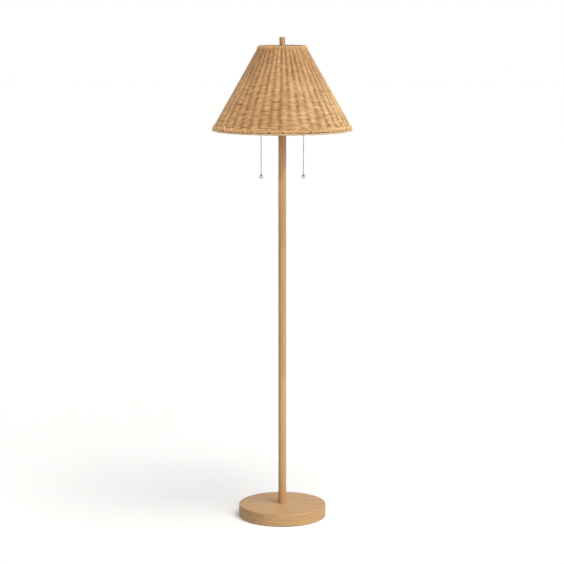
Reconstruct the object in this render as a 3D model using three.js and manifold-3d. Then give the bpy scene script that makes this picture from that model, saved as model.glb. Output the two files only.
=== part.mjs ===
// Floor lamp with a woven conical shade, two pull chain lamp holders and a weighted round base.
// Millimetres, +Z up. The origin is the middle of the underside, on the surface the lamp stands on.
// The two holders and their chains lie in the XZ plane, and the supply lead leaves at the back, +Y.

import * as THREE from 'three';
import { mergeVertices } from 'three/addons/utils/BufferGeometryUtils.js';
import Module from 'manifold-3d';

const wasm = await Module();
wasm.setup();

// Fits shared by all pieces
const clearance = 0.3;
const overrun = 1;
const weldDistance = 0.0001;

// How finely round pieces are faceted
const largeSides = 72;
const shadeSides = 60;
const poleSides = 30;
const mediumSides = 20;
const smallSides = 12;
const leadSides = 8;
const beadSides = 5;
const bendSteps = 6;
const quarterSteps = 3;

// Base
const baseRadius = 141;
const baseThickness = 39.4;
const baseEdgeRadius = 3.5;
const baseFootChamfer = 1.5;
const baseWall = 35.5;
const recessDepth = 28;
const padInset = 4.5;
const padThickness = 1.8;
const weightThickness = 18.6;
const weightSideGap = 0.8;
const pocketRadius = 20;
const pocketWeb = 3.4;

// Hollow stud with its washer and nut
const studRadius = 5;
const studBore = 3.2;
const studProud = 0.6;
const studReach = 17;
const washerRadius = 14;
const washerThickness = 1.5;
const nutWidth = 14;
const nutThickness = 4.5;

// Supply lead and the bushing where it leaves the base
const leadRadius = 2.5;
const leadHeight = 10.5;
const leadBend = 8;
const leadEndDepth = 4;
const bushingRadius = 5.5;
const bushingInset = 0.6;

// Pole
const poleRadius = 12.7;
const poleBore = 6;
const poleLength = 1258.6;
const poleSections = 3;
const socketDepth = 20;
const insertRadius = 8.2;
const couplerBore = 3.6;
const topFlangeRadius = 12;
const topFlangeThickness = 2.5;

// Cluster on top of the pole
const clusterRadius = 17;
const clusterHeight = 26;
const clusterWall = 2.5;
const clusterFloor = 4;
const coverThickness = 3.4;
const spigotRise = 4;
const leadRise = 8;

// Arms that carry the lamp holders
const armRadius = 5;
const armBore = 3.4;
const armHeight = 14;
const armBend = 16;
const armInnerProud = 1;
const armEndProud = 3;
const armLeadRadius = 1.8;
const armLeadInset = 2.5;

// Lamp holders
const holderOffset = 44;
const holderRise = 6;
const holderCapHeight = 20;
const holderRadius = 17.5;
const holderWall = 1;
const holderCapNeck = 8.5;
const holderShellHeight = 50;
const switchHeight = 26;
const screwShellWall = 0.9;
const contactRadius = 5;
const contactThickness = 0.8;
const contactTipRadius = 2.5;

// Ratchet drum of the switch
const drumPitchRadius = 9;
const drumWidth = 5;
const drumTeeth = 6;
const drumToothHeight = 1.1;
const drumJournalRadius = 1.5;
const drumJournalLength = 6;
const drumSideGap = 0.5;
const feedHeight = 22.5;

// Bell mouth and pull chain
const bellBore = 2.2;
const bellMouthBore = 3.8;
const bellWall = 1.1;
const bellLength = 4;
const chainOffset = 23.3;
const chainBend = 3;
const beadRadius = 1.6;
const beadPitch = 4;
const beadLinkRadius = 0.8;
const feedRadius = 1.4;
const upperChainLength = 56;
const lowerChainLength = 196;
const connectorRadius = 2.4;
const connectorLength = 9;
const ballRadius = 6.8;
const ballRings = 10;

// Bulbs
const bulbBaseRadius = 13.1;
const bulbBaseHeight = 25;
const bulbBaseWall = 0.8;
const bulbTipRadius = 4.6;
const bulbTipHeight = 5;
const bulbRadius = 30;
const bulbGlassHeight = 90;
const bulbGlassWall = 1;
const bulbNeckDepth = 7;
const bulbProfileSteps = 9;

// Centre stem that carries the shade
const stemRadius = 5;
const stemLength = 176.6;
const stemThreadRadius = 3.1;
const stemThreadLength = 17.5;
const collarRadius = 8;
const collarThickness = 6;
const seatWasherRadius = 13;
const seatWasherThickness = 2;

// Shade
const shadeHeight = 270.4;
const shadeBottomRadius = 222.6;
const shadeTopRadius = 80.3;
const stakeCount = 41;
const stakeFacets = 4;
const strandThickness = 1.6;
const strandBow = 2.3;
const bottomBorderHeight = 20;
const bottomBorderThickness = 8;
const topBorderHeight = 8;
const topBorderThickness = 6;
const borderRounding = 3;
const wireRadius = 2;
const wireSides = 6;
const ringSides = 48;
const hubRadius = 12;
const hubThickness = 2.5;
const hubDrop = 9.5;
const spiderArms = 3;
const spiderRingDrop = 4;
const spiderFirstAngle = Math.PI / 2;

// Finial
const finialRadius = 9.2;
const finialProud = 24.5;
const finialEdgeRadius = 1;
const finialInsertRadius = 6;
const finialInsertHeight = 15.7;

// Sizes worked out from those above
const recessRadius = baseRadius - baseWall;
const upperBeads = Math.round(upperChainLength / beadPitch);
const lowerBeads = Math.round(lowerChainLength / beadPitch);

// Heights, worked out from the surface upwards
const baseBottom = padThickness + clearance;
const baseTop = baseBottom + baseThickness;
const weightTop = baseBottom + recessDepth - clearance;
const weightBottom = weightTop - weightThickness;
const pocketCeiling = weightTop - pocketWeb;
const washerBottom = pocketCeiling - clearance - washerThickness;
const nutBottom = washerBottom - clearance - nutThickness;
const studBottom = nutBottom - studProud;
const poleBottom = baseTop + clearance;
const sectionLength = poleLength / poleSections;
const poleTop = poleBottom + poleLength + (poleSections - 1) * clearance;
const clusterBottom = poleTop + topFlangeThickness + 2 * clearance;
const cavityFloor = clusterBottom + clusterFloor;
const clusterTop = clusterBottom + clusterHeight;
const coverBottom = clusterTop + clearance;
const coverTop = coverBottom + coverThickness;
const armLevel = clusterBottom + armHeight;
const holderBottom = armLevel + armBend + holderRise;
const shellBottom = holderBottom + holderCapHeight + clearance;
const shellTop = shellBottom + holderShellHeight;
const switchBottom = shellBottom + clearance;
const switchTop = switchBottom + switchHeight;
const feedLevel = shellBottom + feedHeight;
const drumLevel = feedLevel - drumPitchRadius;
const pivotLevel = feedLevel - chainBend;
const contactBottom = switchTop + clearance;
const bulbBottom = contactBottom + contactThickness + contactTipRadius + clearance;
const stemShoulder = coverTop + stemLength;
const washerSeat = stemShoulder + clearance;
const hubBottom = washerSeat + seatWasherThickness + clearance;
const hubTop = hubBottom + hubThickness;
const shadeTop = hubTop + hubDrop;
const shadeBottom = shadeTop - shadeHeight;
const finialBottom = hubTop + clearance;
const finialTop = shadeTop + finialProud;

// Finishes: colour, roughness, metalness
const wood = { color: 0xcda179, roughness: 0.55, metalness: 0 };
const rattan = { color: 0xd2a869, roughness: 0.6, metalness: 0 };
const polishedSteel = { color: 0xc9c9cb, roughness: 0.2, metalness: 1 };
const zincSteel = { color: 0x9fa2a6, roughness: 0.4, metalness: 1 };
const castIron = { color: 0x3b3b3d, roughness: 0.8, metalness: 0.6 };
const brass = { color: 0xc7a24f, roughness: 0.35, metalness: 1 };
const whiteEnamel = { color: 0xe9e6de, roughness: 0.4, metalness: 0 };
const darkPlastic = { color: 0x2c2926, roughness: 0.5, metalness: 0 };
const greyFelt = { color: 0x4d4a46, roughness: 0.95, metalness: 0 };
const frostedGlass = { color: 0xf4f1ea, roughness: 0.3, metalness: 0 };
const leadJacket = { color: 0xd9d4c6, roughness: 0.6, metalness: 0 };

const lamp = new THREE.Group();

// Adds one named piece to a group
function addPiece(parent, name, geometry, finish, x = 0, y = 0, z = 0) {
  const mesh = new THREE.Mesh(geometry, new THREE.MeshStandardMaterial(finish));
  mesh.name = name;
  mesh.position.set(x, y, z);
  parent.add(mesh);
  return mesh;
}

// Welds shared vertices, drops triangles that have collapsed and turns the faces outwards
function welded(geometry) {
  const bare = geometry.clone();
  bare.deleteAttribute('normal');
  bare.deleteAttribute('uv');
  const merged = mergeVertices(bare, weldDistance);
  const corners = merged.index.array;
  const places = merged.attributes.position.array;
  const kept = [];
  let volume = 0;
  for (let i = 0; i < corners.length; i += 3) {
    const [a, b, c] = [corners[i], corners[i + 1], corners[i + 2]];
    if (a === b || b === c || c === a) {
      continue;
    }
    kept.push(a, b, c);
    const first = new THREE.Vector3().fromArray(places, 3 * a);
    const second = new THREE.Vector3().fromArray(places, 3 * b);
    const third = new THREE.Vector3().fromArray(places, 3 * c);
    volume += first.dot(second.cross(third));
  }
  if (volume < 0) {
    kept.reverse();
  }
  merged.setIndex(kept);
  return merged;
}

function solidOf(geometry) {
  const closed = welded(geometry);
  const vertProperties = new Float32Array(closed.attributes.position.array);
  const triVerts = new Uint32Array(closed.index.array);
  return new wasm.Manifold(new wasm.Mesh({ numProp: 3, vertProperties, triVerts }));
}

function geometryOf(solid) {
  const mesh = solid.getMesh();
  const geometry = new THREE.BufferGeometry();
  geometry.setAttribute('position', new THREE.BufferAttribute(new Float32Array(mesh.vertProperties), 3));
  geometry.setIndex(Array.from(mesh.triVerts));
  return geometry;
}

function cut(geometry, ...tools) {
  return geometryOf(tools.reduce((body, tool) => body.subtract(solidOf(tool)), solidOf(geometry)));
}

function join(...geometries) {
  return geometryOf(geometries.map(solidOf).reduce((body, piece) => body.add(piece)));
}

// A profile of [radius, height] points turned about +Z; it starts and ends on the axis
function turned(profile, sides) {
  const points = profile.map(([radius, height]) => new THREE.Vector2(radius, height));
  return welded(new THREE.LatheGeometry(points, sides).rotateX(Math.PI / 2));
}

// A closed profile that stays off the axis, turned about +Z
function turnedRing(profile, sides) {
  return turned([...profile, profile[0]], sides);
}

function rod(radius, bottom, top, sides) {
  return turned([[0, bottom], [radius, bottom], [radius, top], [0, top]], sides);
}

function tube(outer, bore, bottom, top, sides) {
  return turnedRing([[bore, bottom], [outer, bottom], [outer, top], [bore, top]], sides);
}

function wireRing(radius, level, sides) {
  const section = [];
  for (let i = 0; i < wireSides; i += 1) {
    const angle = 2 * Math.PI * i / wireSides;
    section.push([radius + wireRadius * Math.cos(angle), level + wireRadius * Math.sin(angle)]);
  }
  return turnedRing(section, sides);
}

function hexNut(width, thickness, bore) {
  const outline = new THREE.Shape();
  const cornerRadius = width / Math.sqrt(3);
  for (let i = 0; i < 6; i += 1) {
    const angle = Math.PI * i / 3;
    const corner = [cornerRadius * Math.cos(angle), cornerRadius * Math.sin(angle)];
    if (i === 0) {
      outline.moveTo(...corner);
    } else {
      outline.lineTo(...corner);
    }
  }
  outline.closePath();
  const blank = new THREE.ExtrudeGeometry(outline, { depth: thickness, bevelEnabled: false, steps: 1 });
  return cut(blank, rod(bore, -overrun, thickness + overrun, smallSides));
}

// A path given by its own stations, so that straight runs need no steps between their ends
class StationPath extends THREE.Curve {
  constructor(stations) {
    super();
    this.stations = stations;
  }

  getPointAt(share, target = new THREE.Vector3()) {
    const index = Math.round(share * (this.stations.length - 1));
    return target.copy(this.stations[index]);
  }

  getTangentAt(share, target = new THREE.Vector3()) {
    const last = this.stations.length - 1;
    const index = Math.round(share * last);
    const before = this.stations[Math.max(index - 1, 0)];
    const after = this.stations[Math.min(index + 1, last)];
    const here = this.stations[index];
    const arriving = here.clone().sub(before).normalize();
    const leaving = after.clone().sub(here).normalize();
    return target.copy(arriving.add(leaving)).normalize();
  }
}

function sweptTube(stations, radius, sides, bore = 0) {
  const section = new THREE.Shape();
  section.absarc(0, 0, radius, 0, 2 * Math.PI);
  if (bore > 0) {
    const hole = new THREE.Path();
    hole.absarc(0, 0, bore, 0, 2 * Math.PI);
    section.holes.push(hole);
  }
  const options = {
    steps: stations.length - 1,
    curveSegments: sides / 2,
    extrudePath: new StationPath(stations),
  };
  return welded(new THREE.ExtrudeGeometry(section, options));
}

// Stations along a quarter bend between two directions that are square to each other
function quarterBend(start, from, to, radius) {
  const stations = [];
  for (let i = 1; i <= bendSteps; i += 1) {
    const angle = Math.PI / 2 * i / bendSteps;
    const along = from.clone().multiplyScalar(radius * Math.sin(angle));
    const across = to.clone().multiplyScalar(radius * (1 - Math.cos(angle)));
    stations.push(start.clone().add(along).add(across));
  }
  return stations;
}

const eastward = new THREE.Vector3(1, 0, 0);
const forward = new THREE.Vector3(0, -1, 0);
const upward = new THREE.Vector3(0, 0, 1);
const downward = new THREE.Vector3(0, 0, -1);

// Base: turned disc with a recess below for the weight, a centre hole and a bushing hole at the back
function baseDisc() {
  const profile = [[0, baseBottom], [baseRadius - baseFootChamfer, baseBottom]];
  profile.push([baseRadius, baseBottom + baseFootChamfer]);
  for (let i = 0; i <= quarterSteps; i += 1) {
    const angle = Math.PI / 2 * i / quarterSteps;
    const radius = baseRadius - baseEdgeRadius + baseEdgeRadius * Math.cos(angle);
    profile.push([radius, baseTop - baseEdgeRadius + baseEdgeRadius * Math.sin(angle)]);
  }
  profile.push([0, baseTop]);
  const recess = rod(recessRadius, baseBottom - overrun, baseBottom + recessDepth, largeSides);
  const studHole = rod(studRadius + clearance, baseBottom, baseTop + overrun, smallSides);
  const bushingHole = rod(bushingRadius + clearance, recessRadius - overrun, baseRadius + overrun, smallSides);
  bushingHole.rotateX(-Math.PI / 2).translate(0, 0, leadHeight);
  return cut(turned(profile, largeSides), recess, studHole, bushingHole);
}

function baseWeight() {
  const radius = recessRadius - weightSideGap;
  const blank = rod(radius, weightBottom, weightTop, largeSides);
  const pocket = rod(pocketRadius, weightBottom - overrun, pocketCeiling, mediumSides);
  const studHole = rod(studRadius + clearance, weightBottom, weightTop + overrun, smallSides);
  const grooveRadius = leadRadius + clearance;
  const groove = rod(grooveRadius, 0, radius + overrun, smallSides);
  groove.rotateX(-Math.PI / 2).translate(0, 0, leadHeight);
  return cut(blank, pocket, studHole, groove);
}

function baseStud() {
  return tube(studRadius, studBore, studBottom, poleBottom + studReach, smallSides);
}

function leadBushing() {
  const inner = recessRadius + clearance;
  const outer = baseRadius - bushingInset;
  const bushing = tube(bushingRadius, leadRadius + clearance, inner, outer, smallSides);
  return bushing.rotateX(-Math.PI / 2).translate(0, 0, leadHeight);
}

// The lead lies in the groove of the weight, turns up into the stud and ends inside the cluster
function innerLead() {
  const outerEnd = new THREE.Vector3(0, baseRadius - bushingInset - leadEndDepth, leadHeight);
  const bendStart = new THREE.Vector3(0, leadBend, leadHeight);
  const bend = quarterBend(bendStart, forward, upward, leadBend);
  const topEnd = new THREE.Vector3(0, 0, cavityFloor + leadRise);
  return sweptTube([outerEnd, bendStart, ...bend, topEnd], leadRadius, leadSides);
}

// One section of the pole, bored through and opened out at both ends for its inserts
function poleSection() {
  const socketRadius = insertRadius + clearance;
  return turnedRing([
    [socketRadius, 0],
    [poleRadius, 0],
    [poleRadius, sectionLength],
    [socketRadius, sectionLength],
    [socketRadius, sectionLength - socketDepth],
    [poleBore, sectionLength - socketDepth],
    [poleBore, socketDepth],
    [socketRadius, socketDepth],
  ], poleSides);
}

function footInsert() {
  const top = poleBottom + socketDepth - clearance;
  return tube(insertRadius, studRadius + clearance, poleBottom, top, mediumSides);
}

function coupler() {
  const half = socketDepth - clearance;
  return tube(insertRadius, couplerBore, -half, clearance + half, mediumSides);
}

// Top insert: screwed into the pole, with a flange and a hollow spigot that holds the cluster
function topInsert() {
  const flangeBottom = poleTop + clearance;
  const flangeTop = flangeBottom + topFlangeThickness;
  return turnedRing([
    [studBore, poleTop - socketDepth + clearance],
    [insertRadius, poleTop - socketDepth + clearance],
    [insertRadius, flangeBottom],
    [topFlangeRadius, flangeBottom],
    [topFlangeRadius, flangeTop],
    [studRadius, flangeTop],
    [studRadius, cavityFloor + spigotRise],
    [studBore, cavityFloor + spigotRise],
  ], mediumSides);
}

// Cluster: a cup with a hole below for the spigot and one in each side for an arm
function clusterBody() {
  const bore = studRadius + clearance;
  const cup = turnedRing([
    [bore, clusterBottom],
    [clusterRadius, clusterBottom],
    [clusterRadius, clusterTop],
    [clusterRadius - clusterWall, clusterTop],
    [clusterRadius - clusterWall, cavityFloor],
    [bore, cavityFloor],
  ], mediumSides);
  const reach = clusterRadius + overrun;
  const armHoles = rod(armRadius + clearance, -reach, reach, smallSides);
  armHoles.rotateY(Math.PI / 2).translate(0, 0, armLevel);
  return cut(cup, armHoles);
}

function clusterCover() {
  return tube(clusterRadius, stemRadius + clearance, coverBottom, coverTop, mediumSides);
}

// Stem: plain rod with a collar that the shade's washer rests on and a thinner threaded top
function centreStem() {
  const lowEnd = coverBottom - armRadius;
  return turned([
    [0, lowEnd],
    [stemRadius, lowEnd],
    [stemRadius, stemShoulder - collarThickness],
    [collarRadius, stemShoulder - collarThickness],
    [collarRadius, stemShoulder],
    [stemThreadRadius, stemShoulder],
    [stemThreadRadius, stemShoulder + stemThreadLength],
    [0, stemShoulder + stemThreadLength],
  ], smallSides);
}

// Arm: out of the cluster, round a quarter bend and up into the holder's cap
function armStations(innerEnd, topEnd) {
  const start = new THREE.Vector3(innerEnd, 0, armLevel);
  const bendStart = new THREE.Vector3(holderOffset - armBend, 0, armLevel);
  const bend = quarterBend(bendStart, eastward, upward, armBend);
  return [start, bendStart, ...bend, new THREE.Vector3(holderOffset, 0, topEnd)];
}

function armTube() {
  const innerEnd = clusterRadius - clusterWall - armInnerProud;
  return sweptTube(armStations(innerEnd, holderBottom + armEndProud), armRadius, smallSides, armBore);
}

function armLead() {
  const innerEnd = clusterRadius - clusterWall - armLeadInset;
  return sweptTube(armStations(innerEnd, switchBottom - clearance), armLeadRadius, leadSides);
}

// Holder cap: a thin dome, open at the top, with a neck hole for the arm
function holderCap() {
  const neck = armRadius + clearance;
  const outer = [[neck, 0]];
  const inner = [[neck, holderWall]];
  for (let i = 0; i <= quarterSteps; i += 1) {
    const angle = Math.PI / 2 * i / quarterSteps;
    const out = holderCapNeck + (holderRadius - holderCapNeck) * Math.sin(angle);
    const up = (holderCapHeight - holderRise) * (1 - Math.cos(angle));
    outer.push([out, up]);
    inner.push([out - holderWall, up + holderWall]);
  }
  outer.push([holderRadius, holderCapHeight]);
  inner.push([holderRadius - holderWall, holderCapHeight]);
  return turnedRing([...outer, ...inner.reverse()], mediumSides);
}

function holderShell() {
  const shell = tube(holderRadius, holderRadius - holderWall, 0, holderShellHeight, mediumSides);
  const reach = holderRadius + overrun;
  const mouthHole = rod(bellBore + bellWall + clearance, holderRadius / 2, reach, smallSides);
  mouthHole.rotateY(Math.PI / 2).translate(0, 0, feedHeight);
  return cut(shell, mouthHole);
}

// Switch body: round block with a slot for the drum, open towards the bell mouth
function switchBody() {
  const radius = holderRadius - holderWall - clearance;
  const block = rod(radius, switchBottom, switchTop, mediumSides);
  const slotHalf = drumPitchRadius + beadRadius + clearance;
  const slotWidth = drumWidth + 2 * drumSideGap;
  const slot = new THREE.BoxGeometry(slotHalf + radius + overrun, slotWidth, 2 * slotHalf);
  slot.translate((radius + overrun - slotHalf) / 2, 0, drumLevel);
  const journalHole = rod(drumJournalRadius + clearance, -radius - overrun, radius + overrun, smallSides);
  journalHole.rotateX(Math.PI / 2).translate(0, 0, drumLevel);
  return cut(block, slot, journalHole);
}

// Drum: ratchet wheel with a journal at each side, turned by the chain that runs over its top
function switchDrum() {
  const outer = drumPitchRadius - beadRadius - clearance;
  const outline = new THREE.Shape();
  outline.moveTo(outer, 0);
  for (let i = 0; i < drumTeeth; i += 1) {
    const next = 2 * Math.PI * (i + 1) / drumTeeth;
    const middle = next - Math.PI / drumTeeth;
    const low = outer - drumToothHeight;
    outline.lineTo(outer * Math.cos(middle), outer * Math.sin(middle));
    outline.lineTo(low * Math.cos(next), low * Math.sin(next));
    outline.lineTo(outer * Math.cos(next), outer * Math.sin(next));
  }
  const options = { depth: drumWidth, bevelEnabled: false, steps: 1 };
  const wheel = new THREE.ExtrudeGeometry(outline, options).translate(0, 0, -drumWidth / 2);
  const reach = drumWidth / 2 + drumJournalLength;
  return join(wheel, rod(drumJournalRadius, -reach, reach, smallSides)).rotateX(Math.PI / 2);
}

function screwShell() {
  const bore = bulbBaseRadius + clearance;
  return tube(bore + screwShellWall, bore, contactBottom, shellTop, mediumSides);
}

function centreContact() {
  const shoulder = contactBottom + contactThickness;
  return turned([
    [0, contactBottom],
    [contactRadius, contactBottom],
    [contactRadius, shoulder],
    [contactTipRadius, shoulder],
    [contactTipRadius, shoulder + contactTipRadius],
    [0, shoulder + contactTipRadius],
  ], smallSides);
}

// Bell mouth: flared nozzle on the outer side of the holder that the chain runs out of
function bellMouth() {
  const inner = holderRadius - holderWall + clearance;
  const neck = inner + bellLength / 2;
  const mouth = inner + bellLength;
  const nozzle = turnedRing([
    [bellBore, inner],
    [bellBore + bellWall, inner],
    [bellBore + bellWall, neck],
    [bellMouthBore + bellWall, mouth],
    [bellMouthBore, mouth],
    [bellBore, neck],
  ], smallSides);
  return nozzle.rotateY(Math.PI / 2);
}

// The bit of chain between the drum and the mouth, up to the bead that the rest hangs from
function chainFeed() {
  const start = new THREE.Vector3(0, 0, feedLevel);
  const bendStart = new THREE.Vector3(chainOffset - chainBend, 0, feedLevel);
  const bend = quarterBend(bendStart, eastward, downward, chainBend).slice(0, bendSteps / 2 - 1);
  return sweptTube([start, bendStart, ...bend], feedRadius, leadSides);
}

function bead(radius, rings, sides) {
  return welded(new THREE.SphereGeometry(radius, sides, rings).rotateX(Math.PI / 2));
}

// A hanging run of beads: top is its upper end and count its number of beads
function beadChain(count) {
  const profile = [[0, 0]];
  for (let i = 0; i < count; i += 1) {
    const top = -i * beadPitch;
    profile.push([beadLinkRadius, top]);
    profile.push([beadRadius, top - beadPitch / 2]);
  }
  const bottom = -count * beadPitch;
  profile.push([beadLinkRadius, bottom], [0, bottom]);
  return turned(profile, beadSides);
}

function chainConnector() {
  return rod(connectorRadius, -connectorLength, 0, smallSides);
}

function bulbBase() {
  const rim = bulbBaseRadius - bulbBaseWall;
  return turned([
    [0, 0],
    [bulbTipRadius, 0],
    [bulbBaseRadius, bulbTipHeight],
    [bulbBaseRadius, bulbBaseHeight],
    [rim, bulbBaseHeight],
    [rim, bulbTipHeight + bulbBaseWall],
    [bulbTipRadius - bulbBaseWall, bulbBaseWall],
    [0, bulbBaseWall],
  ], mediumSides);
}

// Bulb glass: neck inside the screw cap, swelling to a round top; shares of its radius and height
function bulbGlass() {
  const neck = bulbBaseRadius - bulbBaseWall - clearance;
  const outlineShares = [[0, 0], [0, 0.1], [0.18, 0.22], [0.62, 0.42], [1, 0.66], [0.86, 0.84]];
  const swell = bulbRadius - neck;
  const places = outlineShares.map(([out, up]) => {
    return new THREE.Vector2(neck + out * swell, up * bulbGlassHeight);
  });
  places.push(new THREE.Vector2(0, bulbGlassHeight));
  const outer = new THREE.SplineCurve(places).getPoints(bulbProfileSteps);
  const innerScale = 1 - bulbGlassWall / neck;
  const outside = outer.map((point) => [Math.max(point.x, 0), Math.min(point.y, bulbGlassHeight)]);
  const inside = outside.map(([radius, height]) => {
    return [radius * innerScale, height * (1 - bulbGlassWall / bulbGlassHeight)];
  });
  return turned([...outside, ...inside.reverse(), outside[0]], mediumSides);
}

// Radius of the shade's outer surface at a height
function shadeRadiusAt(height) {
  const slope = (shadeBottomRadius - shadeTopRadius) / shadeHeight;
  return shadeTopRadius + (shadeTop - height) * slope;
}

// Weave: a wall with a rib at each stake, where the strands bow outwards and inwards round it
function shadeWeave() {
  const low = shadeBottom + bottomBorderHeight + clearance;
  const high = shadeTop - topBorderHeight - clearance;
  const corners = [[low, -1], [low, 1], [high, 1], [high, -1]];
  const middleInset = strandBow + strandThickness / 2;
  const sides = stakeCount * stakeFacets;
  const places = [];
  const faces = [];
  for (let i = 0; i < sides; i += 1) {
    const angle = 2 * Math.PI * i / sides;
    const reach = strandThickness / 2 + strandBow * Math.abs(Math.cos(stakeCount * angle / 2));
    corners.forEach(([level, way], j) => {
      const radius = shadeRadiusAt(level) - middleInset + way * reach;
      places.push(radius * Math.cos(angle), radius * Math.sin(angle), level);
      const here = i * corners.length;
      const next = (i + 1) % sides * corners.length;
      const after = (j + 1) % corners.length;
      faces.push(here + j, here + after, next + after, here + j, next + after, next + j);
    });
  }
  const wall = new THREE.BufferGeometry();
  wall.setAttribute('position', new THREE.Float32BufferAttribute(places, 3));
  wall.setIndex(faces);
  return welded(wall);
}

// Border: a band with rounded edges that follows the shade's slope
function border(low, height, thickness) {
  const high = low + height;
  const soft = Math.min(borderRounding, height / 2, thickness / 2);
  return turnedRing([
    [shadeRadiusAt(low) - soft, low],
    [shadeRadiusAt(low + soft), low + soft],
    [shadeRadiusAt(high - soft), high - soft],
    [shadeRadiusAt(high) - soft, high],
    [shadeRadiusAt(high) - thickness + soft, high],
    [shadeRadiusAt(high - soft) - thickness, high - soft],
    [shadeRadiusAt(low + soft) - thickness, low + soft],
    [shadeRadiusAt(low) - thickness + soft, low],
  ], shadeSides);
}

function bottomRing() {
  const level = shadeBottom + bottomBorderHeight / 2;
  return wireRing(shadeRadiusAt(level) - bottomBorderThickness - clearance - wireRadius, level, ringSides);
}

// Spider: a drilled hub, its arms and the wire ring inside the shade's top border
function spider() {
  const ringLevel = shadeTop - spiderRingDrop;
  const ringRadius = shadeRadiusAt(ringLevel) - topBorderThickness - clearance - wireRadius;
  const hub = rod(hubRadius, hubBottom, hubTop, mediumSides);
  const hubMiddle = (hubBottom + hubTop) / 2;
  const start = new THREE.Vector3(hubRadius / 2, 0, hubMiddle);
  const rimPlace = new THREE.Vector3(hubRadius + wireRadius, 0, hubMiddle);
  const end = new THREE.Vector3(ringRadius, 0, ringLevel);
  const parts = [hub, wireRing(ringRadius, ringLevel, ringSides)];
  for (let i = 0; i < spiderArms; i += 1) {
    const arm = sweptTube([start, rimPlace, end], hubThickness / 2, wireSides);
    parts.push(arm.rotateZ(spiderFirstAngle + 2 * Math.PI * i / spiderArms));
  }
  const hole = rod(stemThreadRadius + clearance, hubBottom - overrun, hubTop + overrun, smallSides);
  return cut(join(...parts), hole);
}

function finialInsert() {
  return tube(finialInsertRadius, stemThreadRadius + clearance, 0, finialInsertHeight, smallSides);
}

function finial() {
  const height = finialTop - finialBottom;
  const bore = finialInsertRadius + clearance;
  const boreDepth = finialInsertHeight + clearance;
  return turned([
    [0, boreDepth],
    [bore, boreDepth],
    [bore, 0],
    [finialRadius, 0],
    [finialRadius, height - finialEdgeRadius],
    [finialRadius - finialEdgeRadius, height],
    [0, height],
  ], mediumSides);
}

// Base and pole
addPiece(lamp, 'felt_pad', rod(baseRadius - padInset, 0, padThickness, largeSides), greyFelt);
addPiece(lamp, 'base_disc', baseDisc(), wood);
addPiece(lamp, 'base_weight', baseWeight(), castIron);
addPiece(lamp, 'base_stud', baseStud(), zincSteel);
const studHoleRadius = studRadius + clearance;
const baseWasher = tube(washerRadius, studHoleRadius, 0, washerThickness, mediumSides);
addPiece(lamp, 'base_washer', baseWasher, zincSteel, 0, 0, washerBottom);
addPiece(lamp, 'base_nut', hexNut(nutWidth, nutThickness, studHoleRadius), zincSteel, 0, 0, nutBottom);
addPiece(lamp, 'lead_bushing', leadBushing(), darkPlastic);
addPiece(lamp, 'inner_lead', innerLead(), leadJacket);
addPiece(lamp, 'foot_insert', footInsert(), zincSteel);
const sectionNames = ['lower_pole', 'middle_pole', 'upper_pole'];
for (let i = 0; i < poleSections; i += 1) {
  const bottom = poleBottom + i * (sectionLength + clearance);
  addPiece(lamp, sectionNames[i] ?? `pole_${i + 1}`, poleSection(), wood, 0, 0, bottom);
}
const couplerNames = ['lower_coupler', 'upper_coupler'];
for (let i = 0; i < poleSections - 1; i += 1) {
  const seam = poleBottom + (i + 1) * sectionLength + i * clearance;
  addPiece(lamp, couplerNames[i] ?? `coupler_${i + 1}`, coupler(), zincSteel, 0, 0, seam);
}
addPiece(lamp, 'top_insert', topInsert(), zincSteel);

// Cluster and stem
addPiece(lamp, 'cluster_body', clusterBody(), brass);
addPiece(lamp, 'cluster_cover', clusterCover(), brass);
addPiece(lamp, 'centre_stem', centreStem(), brass);
const seatWasher = tube(seatWasherRadius, stemThreadRadius + clearance, 0, seatWasherThickness, mediumSides);
addPiece(lamp, 'seat_washer', seatWasher, brass, 0, 0, washerSeat);

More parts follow.
